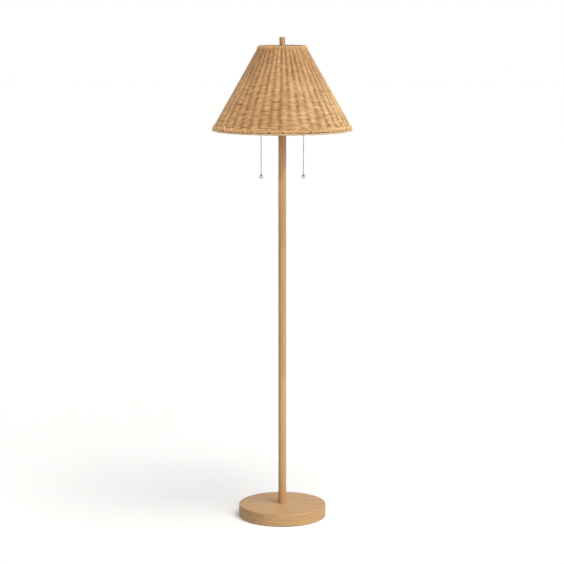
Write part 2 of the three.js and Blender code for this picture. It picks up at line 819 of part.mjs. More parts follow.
// Two sides, each a copy turned about the stem: the right one lies along +X
function addSide(side, turn) {
  const group = new THREE.Group();
  group.rotation.z = turn;
  lamp.add(group);
  addPiece(group, `${side}_arm`, armTube(), brass);
  addPiece(group, `${side}_arm_lead`, armLead(), leadJacket);
  addPiece(group, `${side}_holder_cap`, holderCap(), brass, holderOffset, 0, holderBottom);
  addPiece(group, `${side}_holder_shell`, holderShell(), brass, holderOffset, 0, shellBottom);
  addPiece(group, `${side}_switch_body`, switchBody(), darkPlastic, holderOffset);
  addPiece(group, `${side}_drum`, switchDrum(), brass, holderOffset, 0, drumLevel);
  addPiece(group, `${side}_screw_shell`, screwShell(), brass, holderOffset);
  addPiece(group, `${side}_contact`, centreContact(), brass, holderOffset);
  addPiece(group, `${side}_bell_mouth`, bellMouth(), brass, holderOffset, 0, feedLevel);
  addPiece(group, `${side}_chain_feed`, chainFeed(), polishedSteel, holderOffset);

  const chainPlace = holderOffset + chainOffset;
  const upperTop = pivotLevel - beadRadius - clearance;
  const connectorTop = upperTop - upperBeads * beadPitch - clearance;
  const lowerTop = connectorTop - connectorLength - clearance;
  const ballLevel = lowerTop - lowerBeads * beadPitch - clearance - ballRadius;
  const firstBead = bead(beadRadius, leadSides, leadSides);
  addPiece(group, `${side}_first_bead`, firstBead, polishedSteel, chainPlace, 0, pivotLevel);
  addPiece(group, `${side}_upper_chain`, beadChain(upperBeads), polishedSteel, chainPlace, 0, upperTop);
  addPiece(group, `${side}_connector`, chainConnector(), polishedSteel, chainPlace, 0, connectorTop);
  addPiece(group, `${side}_lower_chain`, beadChain(lowerBeads), polishedSteel, chainPlace, 0, lowerTop);
  const ball = bead(ballRadius, ballRings, smallSides);
  addPiece(group, `${side}_pull_ball`, ball, polishedSteel, chainPlace, 0, ballLevel);

  const neckLevel = bulbBottom + bulbBaseHeight - bulbNeckDepth;
  addPiece(group, `${side}_bulb_base`, bulbBase(), zincSteel, holderOffset, 0, bulbBottom);
  addPiece(group, `${side}_bulb_glass`, bulbGlass(), frostedGlass, holderOffset, 0, neckLevel);
}
addSide('right', 0);
addSide('left', Math.PI);

// Shade and finial
const bottomBorder = border(shadeBottom, bottomBorderHeight, bottomBorderThickness);
const topBorder = border(shadeTop - topBorderHeight, topBorderHeight, topBorderThickness);
addPiece(lamp, 'shade_weave', shadeWeave(), rattan);
addPiece(lamp, 'bottom_border', bottomBorder, rattan);
addPiece(lamp, 'top_border', topBorder, rattan);
addPiece(lamp, 'bottom_ring', bottomRing(), whiteEnamel);
addPiece(lamp, 'spider', spider(), whiteEnamel);
addPiece(lamp, 'finial_insert', finialInsert(), brass, 0, 0, finialBottom);
addPiece(lamp, 'finial', finial(), wood, 0, 0, finialBottom);

export default lamp;
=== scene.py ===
# Floor lamp with a woven rattan shade on a white floor. Metres, +Z up, the pole on the Z axis.
# Pieces are made where they stand, so Object texture coordinates are metres on the lamp.

import math

import bmesh
import bpy
import numpy as np
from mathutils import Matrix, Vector


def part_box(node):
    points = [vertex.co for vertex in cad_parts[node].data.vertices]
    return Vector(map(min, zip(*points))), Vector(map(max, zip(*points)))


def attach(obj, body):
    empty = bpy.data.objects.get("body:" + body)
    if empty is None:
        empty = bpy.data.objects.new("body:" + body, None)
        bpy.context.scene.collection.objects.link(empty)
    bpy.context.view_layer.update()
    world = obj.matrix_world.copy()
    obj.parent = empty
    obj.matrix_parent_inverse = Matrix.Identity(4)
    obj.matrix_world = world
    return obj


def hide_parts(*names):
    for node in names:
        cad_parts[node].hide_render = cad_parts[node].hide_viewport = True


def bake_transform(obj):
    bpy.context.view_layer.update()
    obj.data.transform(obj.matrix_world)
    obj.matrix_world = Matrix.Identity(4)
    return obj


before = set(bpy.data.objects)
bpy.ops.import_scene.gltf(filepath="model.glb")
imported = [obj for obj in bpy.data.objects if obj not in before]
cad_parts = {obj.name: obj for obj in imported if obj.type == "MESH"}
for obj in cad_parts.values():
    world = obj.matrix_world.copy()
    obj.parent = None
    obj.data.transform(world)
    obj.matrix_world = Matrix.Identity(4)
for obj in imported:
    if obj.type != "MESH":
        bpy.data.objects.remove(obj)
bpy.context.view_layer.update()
scene = bpy.context.scene
fullTurn = 2 * math.pi
print("frame loaded")


def addItem(name, data):
    item = bpy.data.objects.new(name, data)
    scene.collection.objects.link(item)
    return item


# Camera: above the shade and tipped down a little
camera = {"place": (-0.001, -5.953, 1.6813), "tiltDown": 8.7, "lens": 119.94, "sensor": 36.0}


def addCamera():
    data = bpy.data.cameras.new("camera")
    data.lens = camera["lens"]
    data.sensor_width = camera["sensor"]
    item = addItem("camera", data)
    item.location = camera["place"]
    item.rotation_euler = (math.radians(90 - camera["tiltDown"]), 0, 0)
    scene.camera = item


addCamera()
scene.view_settings.view_transform = "Standard"


# A shader socket that takes part in plain arithmetic
class Field:
    def __init__(self, recipe, socket):
        self.recipe = recipe
        self.socket = socket

    def math(self, operation, first, second):
        values = {0: first, 1: second}
        return self.recipe.node("ShaderNodeMath", {"operation": operation}, values)

    def __add__(self, other):
        return self.math("ADD", self, other)

    def __sub__(self, other):
        return self.math("SUBTRACT", self, other)

    def __rsub__(self, other):
        return self.math("SUBTRACT", other, self)

    def __mul__(self, other):
        return self.math("MULTIPLY", self, other)

    # The higher of two values
    def __or__(self, other):
        return self.math("MAXIMUM", self, other)

    __radd__ = __add__
    __rmul__ = __mul__
    __ror__ = __or__


# The node tree of a material or world
class Recipe:
    def __init__(self, owner):
        self.owner = owner
        owner.use_nodes = True
        self.tree = owner.node_tree
        self.shader = self.tree.nodes.get("Principled BSDF")

    def node(self, kind, settings=None, inputs=None, output=0):
        item = self.tree.nodes.new(kind)
        for name, value in (settings or {}).items():
            if name == "stops":
                self.setStops(item.color_ramp.elements, value)
            else:
                setattr(item, name, value)
        for name, value in (inputs or {}).items():
            self.feed(item.inputs[name], value)
        if item.outputs:
            return Field(self, item.outputs[output])

    def feed(self, socket, value):
        if isinstance(value, Field):
            self.tree.links.new(value.socket, socket)
        else:
            socket.default_value = (*value, 1.0) if socket.type == "RGBA" else value

    def setStops(self, elements, stops):
        while len(elements) < len(stops):
            elements.new(1.0)
        for element, (place, colour) in zip(elements, stops):
            element.position = place
            element.color = (*colour, 1.0)

    # A Mix node takes its colours at sockets 6 and 7 and gives them at output 2
    def mix(self, factor, first, second):
        inputs = {0: factor, 6: first, 7: second}
        return self.node("ShaderNodeMix", {"data_type": "RGBA"}, inputs, 2)

    # Noise with a count of cells per metre along each axis
    def noise(self, perMetre, detail=3.0, roughness=0.5, distortion=0.0):
        place = self.node("ShaderNodeTexCoord", output="Object")
        settings = {"operation": "MULTIPLY"}
        scaled = self.node("ShaderNodeVectorMath", settings, {0: place, 1: perMetre})
        inputs = {"Vector": scaled, "Scale": 1.0, "Detail": detail, "Roughness": roughness,
                  "Distortion": distortion}
        return self.node("ShaderNodeTexNoise", None, inputs)

    # Stretches the middle of a noise to the whole range from 0 to 1
    def spread(self, value, low=0.35, high=0.65):
        inputs = {"Value": value, "From Min": low, "From Max": high}
        return self.node("ShaderNodeMapRange", None, inputs)

    # Relief is the bump's distance and strength
    def finish(self, colour, roughness, height=None, relief=(0, 0), **others):
        sockets = self.shader.inputs
        for name, value in {"Base_Color": colour, "Roughness": roughness, **others}.items():
            self.feed(sockets[name.replace("_", " ")], value)
        if height is not None:
            inputs = {"Height": height, "Distance": relief[0], "Strength": relief[1]}
            self.feed(sockets["Normal"], self.node("ShaderNodeBump", None, inputs))
        return self.owner


def newRecipe(name):
    return Recipe(bpy.data.materials.new(name))


# Light wood: colours, strength of the streaks, and the axis that the grain runs along. The side of
# the base has a strip whose grain runs round it
woods = {
    "poleWood": {"pale": (0.68, 0.425, 0.215), "deep": (0.57, 0.33, 0.15),
                 "streak": (0.45, 0.25, 0.105), "streaks": 0.5, "along": "z"},
    "baseWood": {"pale": (0.7, 0.445, 0.22), "deep": (0.46, 0.245, 0.095),
                 "streak": (0.36, 0.19, 0.075), "streaks": 0.7, "along": "x", "edging": "xy"},
}
# Noise of each layer, with its cells per metre across the grain, and the range of it that shows
grain = {
    "stretch": 28,
    "band": (170, 4, 0.6, 0.4), "bandRange": (0.33, 0.67), "bandShare": 0.6,
    "fine": (700, 3, 0.6), "fineRange": (0.38, 0.62),
    "pore": (1500, 2, 0.5), "poreRange": (0.58, 0.72),
    "edgingRange": (0.6, 0.4),
    "roughness": 0.46, "roughnessSwing": 0.16,
    "relief": (0.00012, 0.3),
}


def woodFinish(name):
    wood = woods[name]
    recipe = newRecipe(name)

    def grainNoise(axes, count, *character):
        cells = [count / grain["stretch"] if axis in axes else count for axis in "xyz"]
        return recipe.noise(cells, *character)

    def layer(noise):
        flat = grainNoise(wood["along"], *noise)
        if "edging" not in wood:
            return flat
        normal = recipe.node("ShaderNodeTexCoord", output="Normal")
        upward = recipe.node("ShaderNodeSeparateXYZ", None, {0: normal}, "Z")
        side = grainNoise(wood["edging"], *noise)
        return flat + (side - flat) * recipe.spread(upward * upward, *grain["edgingRange"])

    band, fine, pore = [layer(grain[name]) for name in ("band", "fine", "pore")]
    figure = recipe.spread(band, *grain["bandRange"]) * grain["bandShare"]
    figure += recipe.spread(fine, *grain["fineRange"]) * (1 - grain["bandShare"])
    body = recipe.mix(figure, wood["pale"], wood["deep"])
    dash = recipe.spread(pore, *grain["poreRange"]) * wood["streaks"]
    colour = recipe.mix(dash, body, wood["streak"])
    roughness = fine * grain["roughnessSwing"] + grain["roughness"]
    return recipe.finish(colour, roughness, fine - dash, grain["relief"])


# Natural rattan: each strand has its own tone, with blotches and fine fibres along it. Rows and
# uprights have the cells of their blotches and fibres
rattan = {
    "dark": (0.26, 0.12, 0.035),
    "brown": (0.52, 0.275, 0.1),
    "honey": (0.74, 0.435, 0.18),
    "straw": (0.92, 0.65, 0.36),
    "tones": {"dark": 0.05, "brown": 0.3, "honey": 0.58, "straw": 0.95},
    "rows": ((26, 26, 420), (70, 70, 2600)),
    "uprights": ((300, 300, 22), (2200, 2200, 50)),
    "blotches": 0.2, "blotchRange": (0.3, 0.7),
    "fibres": 0.3, "fibreRange": (0.5, 0.8),
    "rosy": (0.68, 0.34, 0.13), "rosyShare": 0.25,
    "rosyCells": (26, 26, 75), "rosyRange": (0.5, 0.68),
    "greyTint": (0.56, 0.44, 0.29), "greyTintRange": (0.1, 0.4),
    "roughness": 0.4, "roughnessSwing": 0.3,
    "relief": (0.0001, 0.5),
    "surface": {"Sheen_Weight": 0.3, "Sheen_Roughness": 0.4, "Sheen_Tint": (1.0, 0.84, 0.68),
                "Coat_Weight": 0.22, "Coat_Roughness": 0.3},
}
# Direction of each kind of strand, and how far its pale tones are mixed towards grey
strands = {"weaver": ("rows", 0.0), "stake": ("uprights", 0.0), "edgeStrand": ("rows", 0.7)}


def rattanFinish(name):
    direction, greying = strands[name]
    blotchCells, fibreCells = rattan[direction]
    recipe = newRecipe(name)
    tone = recipe.node("ShaderNodeAttribute", {"attribute_name": "tone"}, output="Fac")
    blotch = recipe.spread(recipe.noise(blotchCells, 3, 0.6), *rattan["blotchRange"])
    fibre = recipe.noise(fibreCells, 2, 0.5)
    mixed = tone * (1 - rattan["blotches"]) + blotch * rattan["blotches"]
    stops = [(place, rattan[colour]) for colour, place in rattan["tones"].items()]
    body = recipe.node("ShaderNodeValToRGB", {"stops": stops}, {"Fac": mixed})
    rosy = recipe.spread(recipe.noise(rattan["rosyCells"], 3, 0.6), *rattan["rosyRange"])
    body = recipe.mix(rosy * rattan["rosyShare"], body, rattan["rosy"])
    greyedBody = recipe.mix(recipe.spread(tone, *rattan["greyTintRange"]) * greying, body, rattan["greyTint"])
    fibres = recipe.spread(fibre, *rattan["fibreRange"]) * rattan["fibres"]
    colour = recipe.mix(fibres, greyedBody, rattan["brown"])
    roughness = fibre * rattan["roughnessSwing"] + rattan["roughness"]
    return recipe.finish(colour, roughness, fibre, rattan["relief"], **rattan["surface"])


# Bare and plated metals: base colour, darker bloom, roughness
metals = {
    "polishedSteel": ((0.34, 0.345, 0.34), (0.24, 0.245, 0.245), 0.16),
    "brightSteel": ((0.56, 0.565, 0.56), (0.4, 0.405, 0.405), 0.14),
    "zincSteel": ((0.44, 0.45, 0.47), (0.30, 0.31, 0.33), 0.34),
    "brass": ((0.66, 0.46, 0.19), (0.50, 0.33, 0.13), 0.28),
}
bloom = {"cells": (90, 90, 90), "share": 0.6, "roughness": 0.14}
brushing = {"cells": (900, 900, 5200), "relief": (0.00002, 0.25)}


def metalFinish(name):
    base, dark, roughness = metals[name]
    recipe = newRecipe(name)
    cloud = recipe.spread(recipe.noise(bloom["cells"], 4, 0.6))
    brushed = recipe.noise(brushing["cells"], 2, 0.5)
    colour = recipe.mix(cloud * bloom["share"], base, dark)
    roughness = cloud * bloom["roughness"] + roughness
    return recipe.finish(colour, roughness, brushed, brushing["relief"], Metallic=1.0)


# Cast, moulded, sprayed or pressed surfaces: two colours, cells per metre, lowest roughness and
# depth of relief. Two have their own noise, swing of roughness, strength of relief and sockets
plains = {
    "whiteEnamel": ((0.80, 0.78, 0.73), (0.72, 0.69, 0.62), 260, 0.26, 0.00006),
    "darkPlastic": ((0.032, 0.028, 0.025), (0.055, 0.048, 0.042), 1500, 0.36, 0.00008),
    "leadJacket": ((0.70, 0.66, 0.56), (0.60, 0.56, 0.47), 500, 0.44, 0.00006),
    "brownPaper": ((0.13, 0.085, 0.05), (0.20, 0.14, 0.085), 900, 0.69, 0.0001),
    "greyFelt": ((0.075, 0.07, 0.065), (0.22, 0.205, 0.19), 1100, 0.89, 0.0006),
    "castIron": ((0.028, 0.028, 0.03), (0.075, 0.07, 0.068), 700, 0.6, 0.0004,
                 (5, 0.7), 0.3, 0.8, {"Metallic": 0.3}),
    "frostedGlass": ((0.88, 0.86, 0.82), (0.82, 0.80, 0.75), 60, 0.22, 0.00004,
                     (3, 0.5), 0.12, 0.2, {"Coat_Weight": 0.3}),
}
sharedByPlains = (4, 0.6), 0.12, 0.5, {}


def plainFinish(name):
    first, second, cells, lowest, depth, *own = plains[name]
    character, swing, strength, others = own or sharedByPlains
    recipe = newRecipe(name)
    grit = recipe.noise((cells, cells, cells), *character)
    colour = recipe.mix(recipe.spread(grit), first, second)
    return recipe.finish(colour, grit * swing + lowest, grit, (depth, strength), **others)


finishes = {}
for makeFinish, names in (
        (metalFinish, metals), (plainFinish, plains), (woodFinish, woods), (rattanFinish, strands)):
    for name in names:
        finishes[name] = makeFinish(name)
print("finishes made")


# Points at these radii, angles and heights round the pole
def aroundPole(radii, angles, heights):
    level = heights + 0 * angles
    return np.stack([radii * np.cos(angles), radii * np.sin(angles), level], axis=-1)


def evenAngles(count):
    return np.arange(count) * fullTurn / count


# Level direction square to the radius at this angle
def onwardFrom(angle):
    return (-math.sin(angle), math.cos(angle), 0)


# Points, faces and tones of one piece, gathered part by part
class Shape:
    def __init__(self):
        self.points = []
        self.faces = []
        self.tones = []

    # Each row of points goes once round a section
    def addRings(self, rings, closed=False, caps=True, tones=None):
        rings = np.asarray(rings, float)
        rows, columns = rings.shape[:2]
        ids = len(self.points) + np.arange(rows * columns).reshape(rows, columns)
        loop = np.hstack([ids, ids[:, :1]])
        if closed:
            loop = np.vstack([loop, loop[:1]])
        corners = [loop[:-1, :-1], loop[:-1, 1:], loop[1:, 1:], loop[1:, :-1]]
        self.faces += np.stack(corners, axis=-1).reshape(-1, 4).tolist()
        if caps and not closed:
            self.faces += [ids[0, ::-1].tolist(), ids[-1].tolist()]
        self.points += rings.reshape(-1, 3).tolist()
        rowTones = np.full(rows, 0.5) if tones is None else tones
        self.tones += np.repeat(rowTones, columns).tolist()
        return self

    # A profile of (radius, height) turned about an upright axis
    def revolve(self, profile, sides, closed=False, at=(0, 0, 0)):
        profile = np.asarray(profile, float)
        rings = aroundPole(profile[:, :1], evenAngles(sides), profile[:, 1:]) + at
        return self.addRings(rings, closed, caps=False)

    # A round tube along a flat path. Across is square to the path's plane
    def tube(self, path, across, radius, sides, closed=False, tones=None):
        path = np.asarray(path, float)
        if closed:
            runs = np.roll(path, -1, axis=0) - np.roll(path, 1, axis=0)
        else:
            runs = np.gradient(path, axis=0)
        runs /= np.linalg.norm(runs, axis=1, keepdims=True)
        out = np.cross(runs, across)
        angles = evenAngles(sides)[:, None]
        ring = out[:, None] * np.cos(angles) + np.asarray(across) * np.sin(angles)
        return self.addRings(path[:, None] + radius * ring, closed, tones=tones)

    def ball(self, centre, radius, sides, rings):
        turns = np.linspace(-math.pi / 2, math.pi / 2, rings + 1)
        profile = np.stack([radius * np.cos(turns), radius * np.sin(turns)], axis=1)
        return self.revolve(profile, sides, at=centre)

    def join(self, other):
        start = len(self.points)
        self.points += other.points
        self.faces += [[start + corner for corner in face] for face in other.faces]
        self.tones += other.tones
        return self

    # Half a turn about the pole for the left side
    def onSide(self, sign):
        self.points = [[sign * x, sign * y, z] for x, y, z in self.points]
        return self

    # Lays a shape from +Z along +X or +Y, then puts it in place
    def laid(self, axis, at):
        x, y, z = np.transpose(self.points)
        turned = (z, y, -x) if axis == "x" else (x, z, -y)
        self.points = (np.stack(turned, axis=1) + at).tolist()
        return self


# The largest share of a side that one rounding takes up
softShare = 0.45


# Corners are (radius, height, rounding). Each rounded one becomes a short arc
def soften(corners, steps):
    points = []
    for i, (radius, height, rounding) in enumerate(corners):
        here = np.array((radius, height))
        if rounding == 0:
            points.append(here)
            continue
        before, after = [np.array(corners[k % len(corners)][:2]) - here for k in (i - 1, i + 1)]
        lengths = np.linalg.norm(before), np.linalg.norm(after)
        reach = min(rounding, softShare * lengths[0], softShare * lengths[1])
        start = here + before / lengths[0] * reach
        end = here + after / lengths[1] * reach
        for share in np.linspace(0, 1, steps + 1):
            rest = 1 - share
            points.append(rest ** 2 * start + 2 * share * rest * here + share ** 2 * end)
    return points


# A shape turned from corners: a closed wall, or open where it starts at the axis
def turned(corners, sides, steps=4, at=(0, 0, 0)):
    return Shape().revolve(soften(corners, steps), sides, corners[0][0] > 0, at)


# Corners of a plain wall between two radii, with its inner and outer roundings
def wall(inside, outside, low, high, inner=0, outer=0):
    return [(inside, low, inner), (outside, low, outer), (outside, high, outer),
            (inside, high, inner)]


# A smooth curve through the given places
def throughPlaces(places, steps):
    places = np.asarray(places, float)
    padded = np.vstack([2 * places[0] - places[1], places, 2 * places[-1] - places[-2]])
    points = []
    for i in range(len(places) - 1):
        a, b, c, d = padded[i:i + 4]
        for share in np.arange(steps) / steps:
            cubic = 2 * b + (c - a) * share + (2 * a - 5 * b + 4 * c - d) * share ** 2
            points.append(0.5 * (cubic + (3 * b - a - 3 * c + d) * share ** 3))
    points.append(places[-1])
    return np.array(points)


# How far along and up each step of a bend from level to upright goes
def quarterBend(radius, steps):
    turns = np.linspace(0, math.pi / 2, steps + 1)[1:]
    return [(radius * math.sin(turn), radius * (1 - math.cos(turn))) for turn in turns]


# A threaded cylinder from low to high, with its thread fading out at both ends
def threadRings(radius, depth, pitch, low, high, sides, rowsPerTurn):
    rows = int((high - low) / pitch * rowsPerTurn)
    heights = np.linspace(low, high, rows + 1)[:, None]
    angles = evenAngles(sides)[None, :]
    wave = 0.5 - 0.5 * np.cos(fullTurn * heights / pitch - angles)
    fade = np.clip(np.minimum(heights - low, high - heights) / pitch, 0, 1)
    return aroundPole(radius - depth * wave * fade, angles, heights)


weldDistance = 1e-7


# Welds the shape, turns its faces outwards and keeps its sharp edges crisp
def tidyMesh(mesh, crease):
    work = bmesh.new()
    work.from_mesh(mesh)
    bmesh.ops.remove_doubles(work, verts=work.verts, dist=weldDistance)
    bmesh.ops.recalc_face_normals(work, faces=work.faces)
    limit = math.radians(crease)
    for edge in work.edges:
        edge.smooth = len(edge.link_faces) != 2 or edge.calc_face_angle(0.0) < limit
    work.to_mesh(mesh)
    work.free()


def addPiece(shape, name, finish, node=None, body="stand", crease=32, tidied=True):
    mesh = bpy.data.meshes.new(name)
    mesh.from_pydata(shape.points, [], shape.faces)
    tone = mesh.attributes.new("tone", "FLOAT", "POINT")
    tone.data.foreach_set("value", np.array(shape.tones, np.float32))
    if tidied:
        tidyMesh(mesh, crease)
    mesh.polygons.foreach_set("use_smooth", np.ones(len(mesh.polygons), bool))
    mesh.materials.append(finishes[finish])
    item = addItem(name, mesh)
    if body:
        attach(item, body)
    if node:
        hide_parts(node)
    return item


# Sign of X and Y on each side
sides = {"right": 1, "left": -1}


# A piece made for the right side, turned round for the left
def addOnSide(side, shape, name, finish, node=None, body="stand", crease=32):
    node = node and f"{side}_{node}"
    return addPiece(shape.onSide(sides[side]), f"{side}_{name}", finish, node, body, crease)


def levels(node):
    low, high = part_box(node)
    return low.z, high.z


def middleLevel(node):
    return sum(levels(node)) / 2


def reachOf(node):
    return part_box(node)[1].x


# A shape turned over its node. Each corner has its radius, or "reach" for the node's own, the level
# that it is measured from, its height above that level, and its rounding
def overNode(node, outline, sides, steps=4, at=(0, 0, 0), **known):
    low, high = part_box(node)
    known.update(low=low.z, high=high.z)
    corners = [(high.x if radius == "reach" else radius, known[level] + above, rounding)
               for radius, level, above, rounding in outline]
    return turned(corners, sides, steps, at)


def addTurned(node, name, finish, outline, sides, steps=4, body="stand", **known):
    return addPiece(overNode(node, outline, sides, steps, **known), name, finish, node, body)


seatGap = 0.0003


# Base: turned wooden disc on a felt pad, with a bushing at the back for the lead
base = {
    "recess": 0.1055,
    "disc": ((0.0053, "high", 0, 0), (0.141, "high", 0, 0.0038), (0.141, "low", 0, 0.0016),
             (0.1055, "low", 0, 0.0005), (0.1055, "low", 0.028, 0.001), (0.0053, "low", 0.028, 0)),
    "pad": ((0, "low", 0, 0), ("reach", "low", 0, 0.0008), ("reach", "high", 0, 0.0004),
            (0, "high", 0, 0)),
}


def addBase():
    disc = addTurned("base_disc", "wood_base", "baseWood", base["disc"], 160, 6)
    cutBushingHole(disc)
    addTurned("felt_pad", "base_pad", "greyFelt", base["pad"], 96)


# Bushing in the back of the base, and the lead inside base and pole
bushing = {"bore": 0.0028, "radius": 0.0055, "lip": 0.0074, "lipLength": 0.0016, "lipTaper": 0.94,
           "cutFrom": 0.01, "cutLength": 0.06}
leadBend = 0.008


def cutBushingHole(disc):
    radius, length = bushing["radius"] + seatGap, bushing["cutLength"]
    tool = Shape().revolve([(0, 0), (radius, 0), (radius, length), (0, length)], 32)
    tool.laid("y", (0, base["recess"] - bushing["cutFrom"], middleLevel("lead_bushing")))
    mesh = bpy.data.meshes.new("hole")
    mesh.from_pydata(tool.points, [], tool.faces)
    tidyMesh(mesh, 30)
    cutter = addItem("hole", mesh)
    step = disc.modifiers.new("hole", "BOOLEAN")
    step.operation = "DIFFERENCE"
    step.solver = "EXACT"
    step.object = cutter
    bpy.context.view_layer.update()
    shown = disc.evaluated_get(bpy.context.evaluated_depsgraph_get())
    result = bpy.data.meshes.new_from_object(shown)
    disc.modifiers.remove(step)
    disc.data = result
    bpy.data.objects.remove(cutter)


def addBushing():
    low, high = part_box("lead_bushing")
    level = middleLevel("lead_bushing")
    length = high.y - low.y
    end = length + bushing["lipLength"]
    bore, radius, lip = [bushing[name] for name in ("bore", "radius", "lip")]
    corners = [(bore, 0, 0), (radius, 0, 0.0003), (radius, length, 0), (lip, length, 0.0003),
               (lip * bushing["lipTaper"], end, 0.0007), (bore, end, 0.0007)]
    shape = turned(corners, 40).laid("y", (0, low.y, level))
    addPiece(shape, "cord_bushing", "darkPlastic", "lead_bushing")

    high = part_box("inner_lead")[1]
    path = [(0, high.y, level), (0, leadBend, level)]
    path += [(0, leadBend - along, level + up) for along, up in quarterBend(leadBend, 8)]
    lead = Shape().tube(path + [(0, 0, high.z)], (1, 0, 0), high.x, 16)
    addPiece(lead, "lead_in_pole", "leadJacket", "inner_lead")


# Pole: three turned sections that meet at hairline seams, and the finial of the same wood
pole = {
    "section": ((0.0085, "low", 0, 0), (0.0127, "low", 0, 0.00025), (0.0127, "high", 0, 0.00025),
                (0.0085, "high", 0, 0)),
    "finial": ((0, "low", 0.016, 0), (0.0063, "low", 0.016, 0), (0.0063, "low", 0, 0.0003),
               ("reach", "low", 0, 0.0005), ("reach", "high", 0, 0.0011), (0, "high", 0, 0)),
}


def addPoleAndFinial():
    for part in ("lower", "middle", "upper"):
        addTurned(f"{part}_pole", f"{part}_section", "poleWood", pole["section"], 64, 2)
    addTurned("finial", "wood_finial", "poleWood", pole["finial"], 48, body="finial_knob")


# Shade: straight sided cone of fine weavers over upright stakes, between two roped borders. Pairs
# of tones are those at the top and at the bottom of the weave, and dashes have share and strength
shade = {
    "bottomRadius": 0.2267, "topRadius": 0.0727, "bottomBand": 0.0203, "topBand": 0.0123,
    "stakes": 41, "stakeRadius": 0.00125, "stakeSides": 8, "stakeSteps": 26,
    "stakeEnds": (0.012, 0.004), "stakeTones": (0.25, 0.6), "stray": 0.35,
    "centreInset": 0.0031, "wave": 0.0023, "waveSwing": 0.1, "swingEvery": 7,
    "wobble": 0.00022, "wobbleEvery": 5,
    "strandDepth": 0.0008, "strandHeight": 0.00135, "swell": 0.00085, "strandSides": 6,
    "rowPitch": 0.00215, "stepsPerStake": 6, "bands": ("upper", "middle", "lower"),
    "seed": 11,
    "middleTone": 0.5, "fade": (0.5, 1.0), "rows": (0.03, 0.15), "rowTurns": (0.25, 1.4),
    # Split and groove values are how dark their painted shade is
    "ribs": (0.14, 0.06), "splitShade": (0.4, 0.1), "splitShadeFrom": 0.97, "beads": (0.2, 0.22),
    "arcs": (0.012, 0.1), "grooveShade": (0.5, 0.5), "grooveSpread": 0.25, "knotSpread": 0.45,
    "grooveShadeEdge": 1.5, "dashesFrom": 0.45, "paleDashes": (0.05, 0.2), "darkDashes": (0.022, 0.4),
}
shadeTop = levels("top_border")[1]
shadeBottom = levels("bottom_border")[0]
weaveLow = shadeBottom + shade["bottomBand"]
weaveHigh = shadeTop - shade["topBand"]
shadeSlope = (shade["bottomRadius"] - shade["topRadius"]) / (shadeTop - shadeBottom)
shadeLean = math.atan(shadeSlope)
draws = np.random.default_rng(shade["seed"])
# Random values, so many to a stake and so many up the weave: how far a stake strays sideways, how
# pale its rib is, how dark the painted shade in the split down the rib is, how dark the painted
# shade in the groove beside it is, and the beads where a few strands differ and the knots that
# vary the groove's painted shade
gridSizes = {"stray": (1, 6), "rib": (1, 5), "split": (1, 5), "groove": (1, 6), "bead": (4, 76),
             "knot": (1, 76)}
grids = {name: draws.uniform(-1, 1, (shade["stakes"] * across, up))
         for name, (across, up) in gridSizes.items()}


def gridAt(name, stakeNumbers, heights):
    grid = grids[name]
    column = np.asarray(stakeNumbers) * gridSizes[name][0] % len(grid)
    share = np.clip((heights - weaveLow) / (weaveHigh - weaveLow), 0, 1)
    row = share * (grid.shape[1] - 1.001)
    i, j = column.astype(int), row.astype(int)
    across, up = column - i, row - j
    following = (i + 1) % len(grid)
    lower = grid[i, j] * (1 - across) + grid[following, j] * across
    upper = grid[i, j + 1] * (1 - across) + grid[following, j + 1] * across
    return lower * (1 - up) + upper * up


def strayAt(stakeNumbers, heights):
    return shade["stray"] * gridAt("stray", stakeNumbers, heights)


def shadeRadius(height):
    return shade["topRadius"] + (shadeTop - height) * shadeSlope


def eased(share):
    return share * share * (3 - 2 * share)


# Smooth random values from -1 to 1, one for every so many samples
def drift(count, every):
    knots = draws.uniform(-1, 1, int(count / every) + 3)
    places = np.arange(count) / every
    low = places.astype(int)
    share = eased(places - low)
    return knots[low] * (1 - share) + knots[low + 1] * share


# One value for each strand, held along its random length
def strandTones(count, shortest, longest, low, high):
    tones = np.empty(count)
    start = 0
    while start < count:
        length = int(draws.uniform(shortest, longest))
        tones[start:start + length] = draws.uniform(low, high)
        start += length
    return tones


# Sections of a strand that winds round the cone
def strandRings(angles, radii, heights, depth, tall, sides):
    outward = aroundPole(1, angles, 0)
    onward = np.stack([-np.sin(angles), np.cos(angles), 0 * angles], axis=1)
    rate = np.gradient(radii) / np.gradient(angles)
    flat = radii[:, None] * outward - rate[:, None] * onward
    flat /= np.linalg.norm(flat, axis=1, keepdims=True)
    upward = np.array([0.0, 0.0, 1.0])
    normal = math.cos(shadeLean) * flat + math.sin(shadeLean) * upward
    slant = -math.sin(shadeLean) * flat + math.cos(shadeLean) * upward
    turns = evenAngles(sides)[:, None]
    outwards = depth * np.cos(turns) * normal[:, None]
    upwards = np.reshape(tall, (-1, 1, 1)) * np.sin(turns) * slant[:, None]
    return aroundPole(radii, angles, heights)[:, None] + outwards + upwards
